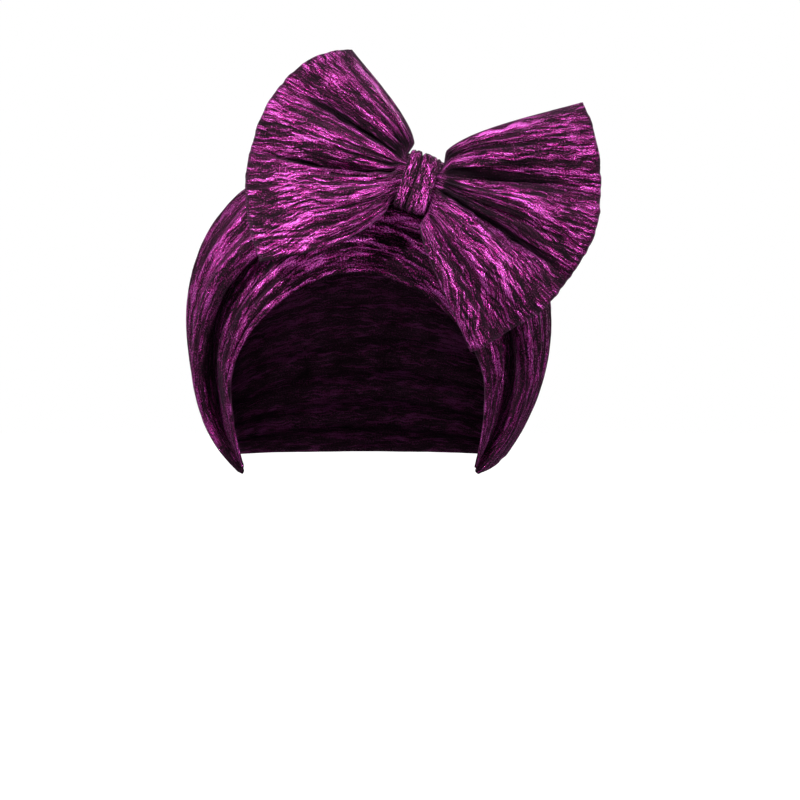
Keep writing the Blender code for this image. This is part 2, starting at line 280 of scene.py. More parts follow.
@dataclass
class ClothFace:
    """One face of a cloth piece on a grid.

    Attributes:
        points: Points in millimetres, rows by columns by three.
        along: Distance along the pleats at each point.
        across: Distance across the pleats.
        crest: Height of the pleats, from 0 in a crease to 1 on a ridge.
        shaded: 1 where painted shade darkens the cloth in the hollow of a fold.
        dull: 1 where the wrong side or a bare hem shows.
    """

    points: Floats
    along: Floats
    across: Floats
    crest: Floats
    shaded: Floats
    dull: Floats

    def picked(self, rows: slice, columns: slice) -> "ClothFace":
        """Return the face on some of the rows and columns of its grid."""
        return ClothFace(*(getattr(self, field.name)[rows, columns] for field in fields(self)))


@dataclass
class ClothShell:
    """A closed cloth wall of an outer face, an inner face and the rim between them.

    Attributes:
        outer: The face that the grid's normals point out of.
        inner: The other face, which is kept on every `row_step` rows and `column_step` columns.
        row_step: Outer rows for each inner row.
        column_step: Outer columns for each inner column.
    """

    outer: ClothFace
    inner: ClothFace
    row_step: int
    column_step: int

    def __post_init__(self) -> None:
        """Thin the inner face."""
        self.inner = self.inner.picked(slice(None, None, self.row_step),
                                       slice(None, None, self.column_step))

    def faces(self) -> list[list[int]]:
        """Return the shell's faces: quads on both grids and a rim polygon for each inner edge."""
        rows, columns = self.outer.along.shape
        fine = np.arange(rows * columns).reshape(rows, columns)
        coarse = rows * columns + np.arange(self.inner.along.size).reshape(self.inner.along.shape)
        quads = [self.quads(fine), self.quads(coarse)[:, ::-1]]
        rims = [
            self.rim(fine[0], coarse[0], self.column_step),
            self.rim(fine[:, -1], coarse[:, -1], self.row_step),
            self.rim(fine[-1, ::-1], coarse[-1, ::-1], self.column_step),
            self.rim(fine[::-1, 0], coarse[::-1, 0], self.row_step),
        ]
        return [face for part in quads + rims for face in part.tolist()]

    @staticmethod
    def quads(index: Floats) -> Floats:
        """Return the quads of a grid of point numbers."""
        corners = [index[:-1, :-1], index[:-1, 1:], index[1:, 1:], index[1:, :-1]]
        return np.stack(corners, axis=2).reshape(-1, 4)

    @staticmethod
    def rim(fine: Floats, coarse: Floats, step: int) -> Floats:
        """Return rim polygons along one side: a run of fine points back along a coarse edge."""
        first = np.arange(0, len(fine) - 1, step)[:, None]
        run = fine[first + np.arange(step, -1, -1)[None, :]]
        return np.concatenate([run, coarse[:-1, None], coarse[1:, None]], axis=1)

    def make(self, name: str, node: str, slot: str, knit_and_shade: "FoilKnit") -> bpy.types.Object:
        """Add the shell to the scene as a piece that stands for a CAD node.

        Args:
            name: The piece's name.
            node: The node that it replaces.
            slot: Name of a material slot; not used.
            knit_and_shade: What it is made of, with its painted shade.

        Returns:
            The new object.
        """
        parts = (self.outer, self.inner)
        points = np.concatenate([part.points.reshape(-1, 3) for part in parts])
        mesh = bpy.data.meshes.new(name)
        mesh.from_pydata((points * MM).tolist(), [], self.faces())
        place = np.concatenate([
            np.stack([part.along.ravel(), part.across.ravel()], axis=1) for part in parts])
        looks = {label: np.concatenate([getattr(part, label).ravel() for part in parts])
                 for label in LOOKS}
        return dress_mesh(mesh, place, looks, node, knit_and_shade)


def add_object(name: str, data: bpy.types.ID) -> bpy.types.Object:
    """Add an object to the scene and return it."""
    thing = bpy.data.objects.new(name, data)
    bpy.context.scene.collection.objects.link(thing)
    return thing


def dress_mesh(mesh: bpy.types.Mesh, place: Floats, looks: dict[str, Floats], node: str,
               knit_and_shade: "FoilKnit") -> bpy.types.Object:
    """Give a cloth mesh its map, attributes and material, and add it as a piece on the root body.

    Args:
        mesh: The new mesh.
        place: Distance along and across the pleats, one row a point, in millimetres.
        looks: Values at each point by the name of the attribute that the finish reads.
        node: The CAD node that the piece replaces.
        knit_and_shade: What it is made of, with its painted shade.

    Returns:
        The new object.
    """
    corner = np.empty(len(mesh.loops), dtype=np.int32)
    mesh.loops.foreach_get("vertex_index", corner)
    layer = mesh.uv_layers.new(name=UV_NAME)
    layer.data.foreach_set("uv", (place[corner] * MM).astype(np.float32).ravel())
    for label, values in looks.items():
        attribute = mesh.attributes.new(label, "FLOAT", "POINT")
        attribute.data.foreach_set("value", values.astype(np.float32).ravel())
    mesh.shade_smooth()
    mesh.materials.append(knit_and_shade.material(mesh.name + "_cloth"))
    piece = add_object(mesh.name, mesh)
    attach(piece, ROOT)
    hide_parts(node)
    return piece


class Wire:
    """A node socket that takes part in Python arithmetic, each operator a Math node."""

    def __init__(self, board: "Board", socket: bpy.types.NodeSocket) -> None:
        """Wrap a socket of a board's node tree."""
        self.board = board
        self.socket = socket

    def __add__(self, other: "Wire | float") -> "Wire":
        """Return the sum."""
        return self.board.math("ADD", self, other)

    def __radd__(self, other: float) -> "Wire":
        """Return the sum with a number on the left."""
        return self.board.math("ADD", other, self)

    def __sub__(self, other: "Wire | float") -> "Wire":
        """Return the difference."""
        return self.board.math("SUBTRACT", self, other)

    def __rsub__(self, other: float) -> "Wire":
        """Return the difference from a number."""
        return self.board.math("SUBTRACT", other, self)

    def __mul__(self, other: "Wire | float") -> "Wire":
        """Return the product."""
        return self.board.math("MULTIPLY", self, other)

    def __rmul__(self, other: float) -> "Wire":
        """Return the product with a number on the left."""
        return self.board.math("MULTIPLY", other, self)


class Board:
    """The node tree of one material, with short calls that add its nodes."""

    def __init__(self, name: str) -> None:
        """Start a material with an empty node tree.

        Args:
            name: The material's name.
        """
        self.material = bpy.data.materials.new(name)
        self.material.use_nodes = True
        self.tree = self.material.node_tree
        self.tree.nodes.clear()

    def node(self, kind: str, settings: dict[str, object],
             inputs: dict[str | int, object]) -> bpy.types.Node:
        """Add a node.

        Args:
            kind: The node's type.
            settings: Its properties, set before its sockets.
            inputs: Values or wires by socket name or number.

        Returns:
            The new node.
        """
        node = self.tree.nodes.new(kind)
        for key, value in settings.items():
            setattr(node, key, value)
        for key, value in inputs.items():
            if isinstance(value, Wire):
                self.tree.links.new(value.socket, node.inputs[key])
            else:
                node.inputs[key].default_value = value
        return node

    def math(self, operation: str, first: Wire | float, second: Wire | float = 0.0) -> Wire:
        """Return the result of a Math node."""
        node = self.node("ShaderNodeMath", {"operation": operation}, {0: first, 1: second})
        return Wire(self, node.outputs[0])

    def attribute(self, name: str) -> Wire:
        """Return a mesh attribute's number."""
        node = self.node("ShaderNodeAttribute", {"attribute_name": name}, {})
        return Wire(self, node.outputs["Fac"])

    def noise(self, place: Wire, detail: float, roughness: float = 0.5) -> Wire:
        """Return noise, one cell a unit of its place."""
        node = self.node("ShaderNodeTexNoise", {},
                         {"Vector": place, "Scale": 1.0, "Detail": detail, "Roughness": roughness})
        return Wire(self, node.outputs["Fac"])

    def place(self, x: Wire | float, y: Wire | float, z: Wire | float = 0.0) -> Wire:
        """Return a vector of three numbers."""
        node = self.node("ShaderNodeCombineXYZ", {}, {0: x, 1: y, 2: z})
        return Wire(self, node.outputs[0])

    def rise(self, value: Wire, low: float, high: float) -> Wire:
        """Return a smooth rise from 0 at low to 1 at high."""
        node = self.node("ShaderNodeMapRange", {"interpolation_type": "SMOOTHSTEP"},
                         {"Value": value, "From Min": low, "From Max": high})
        return Wire(self, node.outputs[0])

    def blend(self, share: Wire, first: Colour | Wire, second: Colour | Wire) -> Wire:
        """Return a colour between two, by a share of the second."""
        ends = [end if isinstance(end, Wire) else (*end, 1.0) for end in (first, second)]
        node = self.node("ShaderNodeMix", {"data_type": "RGBA"}, {0: share, 6: ends[0], 7: ends[1]})
        return Wire(self, node.outputs[2])

    def surface(self, inputs: dict[str | int, object]) -> None:
        """Finish the material with one Principled shader."""
        shader = self.node("ShaderNodeBsdfPrincipled", {}, inputs)
        self.node("ShaderNodeOutputMaterial", {}, {"Surface": Wire(self, shader.outputs[0])})


@dataclass(frozen=True)
class Speckle:
    """Noise over a cloth, long or short along its pleats.

    Attributes:
        along: Cells a metre along the pleats.
        across: Cells a metre across them.
        layer: Which noise.
        detail: Finer layers in it.
        roughness: Strength of each finer layer.
    """

    along: float
    across: float
    layer: float
    detail: float
    roughness: float = 0.5

    def over(self, board: Board, along: Wire, across: Wire) -> Wire:
        """Return the noise at each place of a cloth."""
        place = board.place(along * self.along, across * self.across, self.layer)
        return board.noise(place, self.detail, self.roughness)


@dataclass(frozen=True)
class FoilKnit:
    """A dark elastic knit with broken metallic foil on its ridges, painted shade in its creases and
    folds and painted glints on its foil.

    Attributes:
        ground: Colour of the bare knit in its creases.
        ground_high: Colour of the bare knit where it stands up.
        foil: Colour of the foil.
        foil_deep: Colour of the foil away from painted glints, and in the hollows of folds under
            painted shade.
        inside: Colour of the wrong side and of bare hems.
        inside_low: The same between its stitches.
        depth: Painted shade colour, laid in the hollows of folds and in the bottoms of pleats.
        foil_from: Height at which foil starts to show.
        foil_to: Height at which it covers.
        foil_rough: Roughness of the foil.
        knit_pitch: Width of a knit stitch in millimetres.
        streak: Length of a foil streak in millimetres.
        thread: Width of a fine crease between threads in millimetres.
        bump: Height of the knit in millimetres.
        sway: Noise that makes streaks wavy.
        sway_width: How far they sway, in millimetres.
        streak_width: Width of a foil streak in millimetres.
        patches: Noise of wide worn patches.
        jitter: Noise that breaks up the rows of stitches.
        pore_depth: Share of foil that a pore takes away.
        fleck_share: Share of foil in a fleck.
        specular: Specular level of the bare knit.
        sheen: Weight of its sheen.
        sheen_rough: Roughness of its sheen.
        sheen_tint: Colour of its sheen.
    """

    ground: Colour = (0.005, 0.002, 0.004)
    ground_high: Colour = (0.062, 0.010, 0.038)
    foil: Colour = (0.98, 0.165, 0.80)
    foil_deep: Colour = (0.36, 0.010, 0.19)
    inside: Colour = (0.072, 0.024, 0.056)
    inside_low: Colour = (0.016, 0.005, 0.012)
    depth: Colour = (0.004, 0.001, 0.003)
    foil_from: float = 0.30
    foil_to: float = 0.39
    foil_rough: float = 0.16
    knit_pitch: float = 0.80
    streak: float = 12.0
    thread: float = 0.85
    bump: float = 0.26
    sway: Speckle = Speckle(130.0, 90.0, 19.0, 1.0)
    sway_width: float = 3.6
    streak_width: float = 1.5
    patches: Speckle = Speckle(26.0, 190.0, 7.0, 1.0)
    jitter: Speckle = Speckle(260.0, 420.0, 3.0, 1.0)
    pore_depth: float = 0.95
    fleck_share: float = 0.8
    specular: float = 0.05
    sheen: float = 0.03
    sheen_rough: float = 0.40
    sheen_tint: Colour = (0.80, 0.45, 0.80)

    def material(self, name: str) -> bpy.types.Material:
        """Make the material.

        Foil shows where the pleat's height, long wavy streaks, fine creases and wide patches
        together pass a threshold. A grain the size of a stitch and rows of stitches across the
        pleats open dark pores in it, leave flecks of it on the bare knit and raise the surface.
        Painted shade darkens the bottoms of pleats and the hollows of folds and holds the foil back
        there. A brighter and a darker foil colour are mixed by ridges, streaks, threads and grain
        as painted glints.

        Args:
            name: The material's name.

        Returns:
            The material.
        """
        board = Board(name)
        split = board.node("ShaderNodeSeparateXYZ", {}, {0: Wire(board, board.node(
            "ShaderNodeUVMap", {"uv_map": UV_NAME}, {}).outputs[0])})
        along, across = Wire(board, split.outputs[0]), Wire(board, split.outputs[1])
        crest, shaded, dull = (board.attribute(label) for label in LOOKS)
        stitch = 1.0 / (self.knit_pitch * MM)
        wavy = across + self.sway.over(board, along, across) * (self.sway_width * MM)
        streaks = Speckle(1.0 / (self.streak * MM), 1.0 / (self.streak_width * MM),
                          0.0, 2.0, 0.6).over(board, along, wavy)
        threads = Speckle(1.0 / (0.70 * self.streak * MM), 1.0 / (self.thread * MM),
                          23.0, 1.0).over(board, along, wavy)
        patches = self.patches.over(board, along, wavy)
        grain = Speckle(0.9 * stitch, 1.2 * stitch, 11.0, 2.0, 0.65).over(board, along, across)
        jitter = self.jitter.over(board, along, across)
        slant = along * (2.0 * math.pi * stitch) + across * (0.9 * stitch)
        ladder = board.math("SINE", slant + jitter * 5.0) * 0.5 + 0.5
        height = crest * 0.80 + streaks * 1.60 + patches * 1.90 + threads * 1.10 - 2.45
        # Painted shade: less foil where the cloth lies in the hollow of a fold.
        height = height - shaded * 0.40
        cover = board.rise(height + grain * 0.9 - 0.45, self.foil_from, self.foil_to)
        pores = board.rise(ladder * 0.50 + grain * 1.6, 0.90, 1.04)
        flecks = board.rise(grain * 1.8 + ladder * 0.20 + height * 0.40, 1.28, 1.36)
        foil = board.math("MAXIMUM", cover * (1.0 - pores * self.pore_depth),
                          flecks * self.fleck_share)
        # Painted shade: foil is held back in the hollows of folds and in the bottoms of the fine
        # pleats.
        unshaded_pleat = board.rise(crest, 0.04, 0.34)
        foil = foil * (1.0 - dull * 0.80) * (1.0 - shaded * 0.85) * (unshaded_pleat * 0.8 + 0.2)
        woven = board.rise(grain * 1.6 + threads * 0.8 + crest * 0.3, 1.20, 1.75)
        cloth = board.blend(woven, self.ground, self.ground_high)
        cloth = board.blend(dull, cloth, board.blend(woven, self.inside_low, self.inside))
        # Painted shade: the cloth is blended towards the shade colour in the hollows of folds and
        # in the bottoms of pleats.
        cloth = board.blend(shaded * shaded * 0.95, cloth, self.depth)
        cloth = board.blend(0.7 - unshaded_pleat * 0.7, cloth, self.depth)
        # Painted glints: foil takes its brighter colour where ridges, streaks, threads and grain
        # run high, and its darker colour elsewhere and in the hollows of folds, with random tone.
        glint_and_tone = board.rise(height * 0.6 + threads * 0.8 + grain * 1.0, 1.10, 1.55)
        colour = board.blend(foil, cloth, board.blend(glint_and_tone, self.foil_deep, self.foil))
        raised = grain * 1.5 + ladder * 0.5 + streaks * 1.8 + threads * 2.2
        bump = board.node("ShaderNodeBump", {}, {
            "Strength": 1.0, "Distance": self.bump * MM, "Height": raised})
        board.surface({
            "Base Color": colour,
            "Metallic": foil * 0.95,
            "Roughness": 0.70 - foil * (0.70 - self.foil_rough) + grain * 0.12 - 0.06,
            "Specular IOR Level": self.specular,
            "Normal": Wire(board, bump.outputs[0]),
            "Sheen Weight": self.sheen,
            "Sheen Roughness": self.sheen_rough,
            "Sheen Tint": (*self.sheen_tint, 1.0),
        })
        return board.material


@dataclass(frozen=True)
class ArchRibs:
    """Broad ribs that run from ear to ear.

    Attributes:
        pitch: Width of a rib.
        height: Half its height.
        fade: Shares of the half arch between which ribs die out.
    """

    pitch: float
    height: float
    fade: tuple[float, float]


@dataclass
class Crown:
    """The puffed crown, from the lip turned in at the brow over the top to the nape."""

    sheet: ArchSheet = ArchSheet((
        Arch(-84.0, -19.6, 82.0, 3.4, 72.8, 1.8, -8.0, -149.0, 0.36, 1.92),
        Arch(-92.0, -25.2, 82.4, 3.4, 71.0, 1.6, -11.0, -154.0, 0.37, 1.92),
        Arch(-100.8, -34.0, 84.0, 3.2, 67.6, 1.6, -14.5, -162.0, 0.39, 2.00),
        Arch(-104.0, -38.8, 86.6, 3.0, 65.0, 1.6, -16.5, -168.6, 0.40, 2.06),
        Arch(-105.6, -34.0, 88.4, 3.2, 65.8, 1.8, -16.0, -170.4, 0.41, 2.06),
        Arch(-103.6, -23.4, 89.6, 4.0, 67.4, 2.6, -12.5, -170.0, 0.42, 2.08),
        Arch(-95.0, -11.0, 92.4, 5.1, 69.4, 3.8, -8.5, -168.6, 0.43, 2.12),
        Arch(-62.0, -1.2, 95.8, 6.2, 70.8, 5.2, -2.0, -165.4, 0.44, 2.20),
        Arch(-10.0, 1.0, 97.6, 6.7, 73.2, 6.2, 5.0, -163.0, 0.44, 2.22),
        Arch(46.0, -4.6, 97.2, 6.6, 73.8, 6.2, 12.5, -161.6, 0.43, 2.18),
        Arch(92.0, -30.4, 94.8, 6.1, 73.8, 5.4, 19.5, -161.0, 0.42, 2.14),
        Arch(117.0, -71.0, 91.2, 5.2, 73.4, 4.4, 25.5, -161.0, 0.40, 2.10),
        Arch(115.0, -113.0, 86.2, 4.0, 72.6, 3.2, 30.5, -161.2, 0.38, 2.06),
        Arch(100.0, -144.5, 79.4, 3.0, 71.2, 2.2, 34.5, -161.6, 0.34, 2.02),
        Arch(86.0, -160.0, 73.4, 2.0, 69.2, 1.6, 37.5, -162.0, 0.30, 2.00),
    ))
    ribs: ArchRibs = ArchRibs(19.0, 1.5, (0.60, 0.96))
    rib_drift: float = 2.6
    rib_start: float = 40.0
    rib_end: float = 12.0
    rib_sharpness: float = 1.4
    drift_along: tuple[float, float] = (31.0, 47.0)
    drift_across: float = 5.0
    lip_run: float = 26.0
    lip_drop: float = 13.0
    tip_run: tuple[float, float] = (90.0, 40.0)
    tip_in: float = 2.0
    crinkle: Crinkle = Crinkle(pitch=4.2, height=0.62, streak=26.0, wander=0.75, seed=3.0)
    wall: float = 2.0
    rows: int = 540
    columns: int = 144
    row_step: int = 4
    column_step: int = 2
    # Darker foil than the bow's on the same knit: painted shade on the crown.
    knit_and_shade: FoilKnit = FoilKnit(foil=(0.64, 0.095, 0.51), foil_from=0.40, foil_to=0.51)

    def middle(self) -> tuple[Floats, Floats]:
        """Return the middle of the wall, with ribs like rounded ridges between sharp creases.

        Both tips draw in towards the band, and the turned-in lip reaches down behind them.
        """
        grid, run = self.sheet.lines(self.rows + 1, self.columns + 1)
        place = run[:, None]
        across = np.linspace(-1.0, 1.0, self.columns + 1)[None, :]
        lip = smooth_step(self.lip_run, 0.0, place) * smooth_step(0.86, 1.0, np.abs(across))
        grid[:, :, 2] -= self.lip_drop * lip
        tip = smooth_step(*self.tip_run, place) * smooth_step(0.88, 1.0, np.abs(across))
        grid[:, :, 0] -= self.tip_in * tip * np.sign(grid[:, :, 0])
        straight = np.sin(place / self.drift_along[0])
        slanted = np.sin(self.drift_across * across + place / self.drift_along[1])
        phase = 2.0 * math.pi * (place + self.rib_drift * (straight + slanted)) / self.ribs.pitch
        fade = 1.0 - smooth_step(*self.ribs.fade, np.abs(across))
        begin = smooth_step(self.rib_start - self.ribs.pitch, self.rib_start, place)
        end = 1.0 - smooth_step(run[-1] - self.rib_end, run[-1], place)
        crest = 1.0 - 2.0 * np.abs(np.sin(0.5 * phase)) ** self.rib_sharpness
        rib = self.ribs.height * crest * fade * begin * end
        return grid + rib[:, :, None] * outward(grid), run

    def build(self) -> bpy.types.Object:
        """Build the crown."""
        middle, run = self.middle()
        shell = wrap_shell(middle, run, self.crinkle, self.wall, self.row_step, self.column_step)
        piece = shell.make("crown_wrap", "crown", "crown_foil_knit", self.knit_and_shade)
        return piece


def wrap_shell(middle: Floats, run: Floats, crinkle: Crinkle, wall: float, row_step: int,
               column_step: int) -> ClothShell:
    """Return a wrap's wall about its middle surface, with pleats on its outer face.

    Pleats run along the arches. Where rows draw together towards the ears the pleats get lower
    in proportion. Near each free edge the wall's half thickness follows a quarter circle.

    Args:
        middle: Middle surface.
        run: Run of each row along the apexes.
        crinkle: The fine pleats.
        wall: Thickness of the wall.
        row_step: Outer rows for each inner row.
        column_step: Outer columns for each inner column.

    Returns:
        The wall.
    """
    normal = outward(middle)
    along = run_along(middle)
    along = along - 0.5 * along[:, -1:]
    across = run[:, None] + 0.0 * along
    spacing = np.linalg.norm(np.gradient(middle, axis=0), axis=2) / np.gradient(run)[:, None]
    relief = crinkle.relief(along, across)
    lower = np.clip(spacing, 0.0, 1.0)
    edge = np.minimum(across, run[-1] - across) * spacing
    side = along[:, -1:] - np.abs(along)
    round_off = rounded(np.minimum(edge, side), 0.5 * wall)
    settle = 0.35 + 0.65 * smooth_step(0.5, 5.0, np.minimum(edge, side))
    lift = crinkle.height * relief * lower * settle
    outer_points = middle + normal * (0.5 * wall * round_off + lift)[:, :, None]
    inner_points = middle - normal * (0.5 * wall * round_off)[:, :, None]
    crest = 0.5 + 0.5 * relief
    none = np.zeros_like(crest)
    outer = ClothFace(outer_points, along, across, crest, none, none)
    inner = ClothFace(inner_points, along, across, crest, none, none + 1.0)
    return ClothShell(outer, inner, row_step, column_step)


def rounded(distance: Floats, radius: float) -> Floats:
    """Return the share of full thickness near an edge: a quarter circle over the radius."""
    share = np.clip(distance / radius, 0.0, 1.0)
    quarter = np.sqrt(np.maximum(1.0 - (1.0 - share) ** 2, 0.0))
    return quarter * (1.0 - EDGE_LEAST) + EDGE_LEAST


@dataclass
class BrowBand:
    """The band round the face opening, from its free edge to the edge under the crown's lip."""

    sheet: ArchSheet = ArchSheet((
        Arch(-96.5, -63.4, 68.2, 1.0, 62.6, 1.4, -21.4, -167.0, 0.40, 1.76),
        Arch(-99.8, -56.0, 69.8, 1.3, 63.2, 1.4, -20.2, -167.2, 0.40, 1.78),
        Arch(-100.6, -48.0, 71.9, 1.9, 63.2, 1.4, -18.2, -166.8, 0.40, 1.80),
        Arch(-98.6, -39.5, 74.8, 2.7, 62.4, 1.4, -15.2, -165.8, 0.40, 1.84),
        Arch(-94.2, -32.0, 77.4, 3.2, 61.0, 1.4, -10.0, -164.6, 0.41, 1.88),
        Arch(-87.4, -25.6, 79.0, 3.4, 60.8, 1.4, -6.5, -163.4, 0.41, 1.92),
        Arch(-80.6, -20.8, 79.2, 3.4, 60.6, 1.4, -2.5, -162.4, 0.41, 1.92),
    ))
    ribs: ArchRibs = ArchRibs(8.5, 0.8, (0.55, 0.90))
    rib_end: tuple[float, float] = (0.55, 0.75)
    tuck_rows: tuple[float, float] = (0.35, 1.0)
    tuck_columns: tuple[float, float] = (0.78, 0.96)
    tuck_out: float = 6.0
    rib_drift: float = 0.8
    drift_across: float = 4.0
    crinkle: Crinkle = Crinkle(pitch=3.0, height=0.40, streak=20.0, wander=0.6, seed=21.0)
    wall: float = 2.0
    rows: int = 120
    columns: int = 260
    row_step: int = 2
    column_step: int = 4
    # Darker foil than the bow's on the same knit: painted shade on the band.
    knit_and_shade: FoilKnit = FoilKnit(foil=(0.78, 0.125, 0.63), foil_from=0.35, foil_to=0.46)

    def middle(self) -> tuple[Floats, Floats]:
        """Return the middle of the wall, with cosine ribs that follow the face's edge.

        At both ends the tucked side leads outwards, behind the crown's tips.
        """
        grid, run = self.sheet.lines(self.rows + 1, self.columns + 1)
        across = np.linspace(-1.0, 1.0, self.columns + 1)[None, :]
        tuck = smooth_step(*self.tuck_columns, np.abs(across))
        tuck = tuck * smooth_step(*self.tuck_rows, run / run[-1])[:, None]
        grid[:, :, 0] += self.tuck_out * tuck * np.sign(grid[:, :, 0])
        drifted = self.rib_drift * np.sin(self.drift_across * across)
        phase = 2.0 * math.pi * run[:, None] / self.ribs.pitch + drifted
        fade = 1.0 - smooth_step(*self.ribs.fade, np.abs(across))
        end = 1.0 - smooth_step(*self.rib_end, run / run[-1])[:, None]
        rib = self.ribs.height * np.cos(phase) * fade * end
        return grid + rib[:, :, None] * outward(grid), run

    def build(self) -> bpy.types.Object:
        """Build the band."""
        middle, run = self.middle()
        shell = wrap_shell(middle, run, self.crinkle, self.wall, self.row_step, self.column_step)
        piece = shell.make("brow_band_wrap", "brow_band", "band_foil_knit", self.knit_and_shade)
        return piece


class Side(Enum):
    """Which way a wing of the bow points along X."""

    LEFT = -1.0
    RIGHT = 1.0


@dataclass(frozen=True)
class Fold:
    """One line of a wing's fan, from the knot to the outer edge.

    Attributes:
        share: Share of the way down the panel.
        angle: Degrees above the horizontal.
        reach: Distance of the outer end from the knot's centre.
        back: How far the outer end lies behind the knot.
        fold: Height of the fold, towards the front.
        neck: Height on the knot.
        bow: How far its middle bows upwards.
    """

    share: float
    angle: float
    reach: float
    back: float
    fold: float
    neck: float
    bow: float


@dataclass(frozen=True)
class KnotPlace:
    """Where the knot sits on the brow, in millimetres and degrees."""

    centre: tuple[float, float, float] = (32.6, -110.55, -18.8)
    tilt: float = 18.0
    lean: float = 0.24
    half_height: float = 12.0
    half_depth: float = 7.0
    half_length: float = 8.8

    def axes(self) -> tuple[Floats, Floats]:
        """Return the knot's upward and rightward directions in X and Z."""
        tilt = math.radians(self.tilt)
        return (np.array([math.sin(tilt), math.cos(tilt)]),
                np.array([math.cos(tilt), -math.sin(tilt)]))

    def set_on_head(self, points: Floats) -> Floats:
        """Return bow points moved to the brow, leaning back with height."""
        placed = points + np.array(self.centre)
        placed[..., 1] += self.lean * points[..., 2]
        return placed


@dataclass(frozen=True)
class Crease:
    """A deep crease along a line of a wing's fan, its lower side standing in front.

    Attributes:
        share: Share of the way down the panel.
        depth: Depth in millimetres.
        above: Distance over which it deepens from above.
        below: Distance over which it ends below.
        fade: Shares of the way out between which it dies out.
    """

    share: float
    depth: float
    above: float
    below: float
    fade: tuple[float, float]


@dataclass
class BowWing:
    """One wing of the bow: a fan of deep folds, gathered in the knot."""

    side: Side
    name: str
    folds: tuple[Fold, ...]
    creases: tuple[Crease, ...]
    powers: tuple[float, float]
    crinkle: Crinkle
    knit_and_shade: FoilKnit
    flat: tuple[float, float]
    area: float
    place: KnotPlace = KnotPlace()
    swell: float = 4.0
    neck_fade: tuple[float, float] = (0.02, 0.42)
    clearance: float = 0.09
    fold_rise: float = 0.34
    fold_ease: float = 0.50
    ease_start: float = 0.35
    reach_power: float = 1.15
    steepest: float = 0.42
    wall: float = 2.4
    gathers: float = 15.0
    gather_height: float = 0.9
    gather_rise: tuple[float, float] = (0.03, 0.16)
    gather_fade: tuple[float, float] = (0.30, 0.85)
    gather_edge: float = 3.0
    crease_rise: tuple[float, float] = (0.01, 0.10)
    crease_sway: float = 1.6
    crease_sway_run: float = 24.0
    settle_least: float = 0.15
    settle_over: tuple[float, float] = (0.8, 6.0)
    hem: float = 1.5
    hem_depth: float = 0.30
    hem_wave: float = 0.45
    hem_wave_run: float = 3.4
    hem_wave_reach: float = 7.0
    hem_groove: float = 0.6
    worn_edge: float = 1.2
    bare_tip: float = 2.6
    bare_top: float = 7.5
    bare_low: float = 1.2
    # Crease depths in millimetres over which painted shade rises.
    shaded_from: tuple[float, float] = (0.5, 2.9)
    rows: int = 360
    columns: int = 176
    neck_columns: int = 8
    row_step: int = 2
    column_step: int = 2

    def column(self, share: Floats, name: str) -> Floats:
        """Return a column of the fold table on a smooth curve."""
        knots = np.array([fold.share for fold in self.folds])
        values = np.array([[getattr(fold, name)] for fold in self.folds])
        return smooth_rows(knots, values, share)[:, 0]

    def fold_heights(self, share: Floats) -> Floats:
        """Return fold heights: quarter sines that round each crest and crease each valley."""
        knots = np.array([fold.share for fold in self.folds])
        values = np.array([fold.fold for fold in self.folds])
        low = np.clip(np.searchsorted(knots, share, side="right") - 1, 0, len(knots) - 2)
        part = (share - knots[low]) / (knots[low + 1] - knots[low])
        start, end = values[low], values[low + 1]
        rising, falling = np.sin(0.5 * math.pi * part), 1.0 - np.cos(0.5 * math.pi * part)
        return start + (end - start) * np.where(end > start, rising, falling)

    def fan(self, share: Floats, reach: Floats) -> tuple[Floats, Floats]:
        """Return the wing's middle surface and each point's height in the neck.

        The middle of each fan line is a straight run from the knot to the outer edge, bowed to
        one side by a half sine that peaks towards the knot. Its depth is the fold's height,
        which swells and eases along the run.

        Args:
            share: Shares of the way down the panel.
            reach: Shares of the way out from the knot.

        Returns:
            Points about the knot's centre, and heights in the neck.
        """
        side = self.side.value
        up, right = self.place.axes()
        out = right * side
        neck = self.column(share, "neck")[:, None]
        angle = np.radians(self.column(share, "angle"))[:, None]
        length = self.column(share, "reach")[:, None]
        start_x = neck * up[0] + out[0] * self.place.half_length
        start_z = neck * up[1] + out[1] * self.place.half_length
        end_x, end_z = side * length * np.cos(angle), length * np.sin(angle)
        power = (self.powers[0] + (self.powers[1] - self.powers[0]) * share)[:, None]
        bow = self.column(share, "bow")[:, None] * np.sin(math.pi * reach[None, :] ** power)
        bow = bow * smooth_step(0.0, self.clearance, reach)
        span = np.hypot(end_x - start_x, end_z - start_z)
        x = start_x + (end_x - start_x) * reach - side * bow * (end_z - start_z) / span
        z = start_z + (end_z - start_z) * reach + side * bow * (end_x - start_x) / span
        back = self.column(share, "back")[:, None] * reach ** 2
        ease = 1.0 - self.fold_ease * smooth_step(self.ease_start, 1.0, reach)
        grow = smooth_step(0.0, self.fold_rise, reach) * ease
        depth = self.fold_heights(share)[:, None] * grow
        y = back - depth - self.swell * np.sin(math.pi * reach)
        return np.stack([x, y, z], axis=2), neck + 0.0 * reach

    def middle(self) -> tuple[Floats, Floats, Floats]:
        """Return the middle surface from within the knot to the outer edge.

        Returns:
            Points about the knot's centre, heights in the neck, and shares of the way out, which
            are below 0 within the knot.
        """
        share = np.linspace(0.0, 1.0, self.rows + 1)
        reach = np.linspace(0.0, 1.0, self.columns - self.neck_columns + 1) ** self.reach_power
        fan, height = self.fan(share, reach)
        inside = np.linspace(0.0, 1.0, self.neck_columns + 1)[:-1]
        up, right = self.place.axes()
        run = self.side.value * self.place.half_length * inside[None, :]
        neck = height[:, :1] + 0.0 * run
        bundle = np.stack([neck * up[0] + run * right[0], 0.0 * neck,
                           neck * up[1] + run * right[1]], axis=2)
        return (np.concatenate([bundle, fan], axis=1), np.concatenate([neck, height], axis=1),
                np.concatenate([inside - 1.0, reach])[None, :])

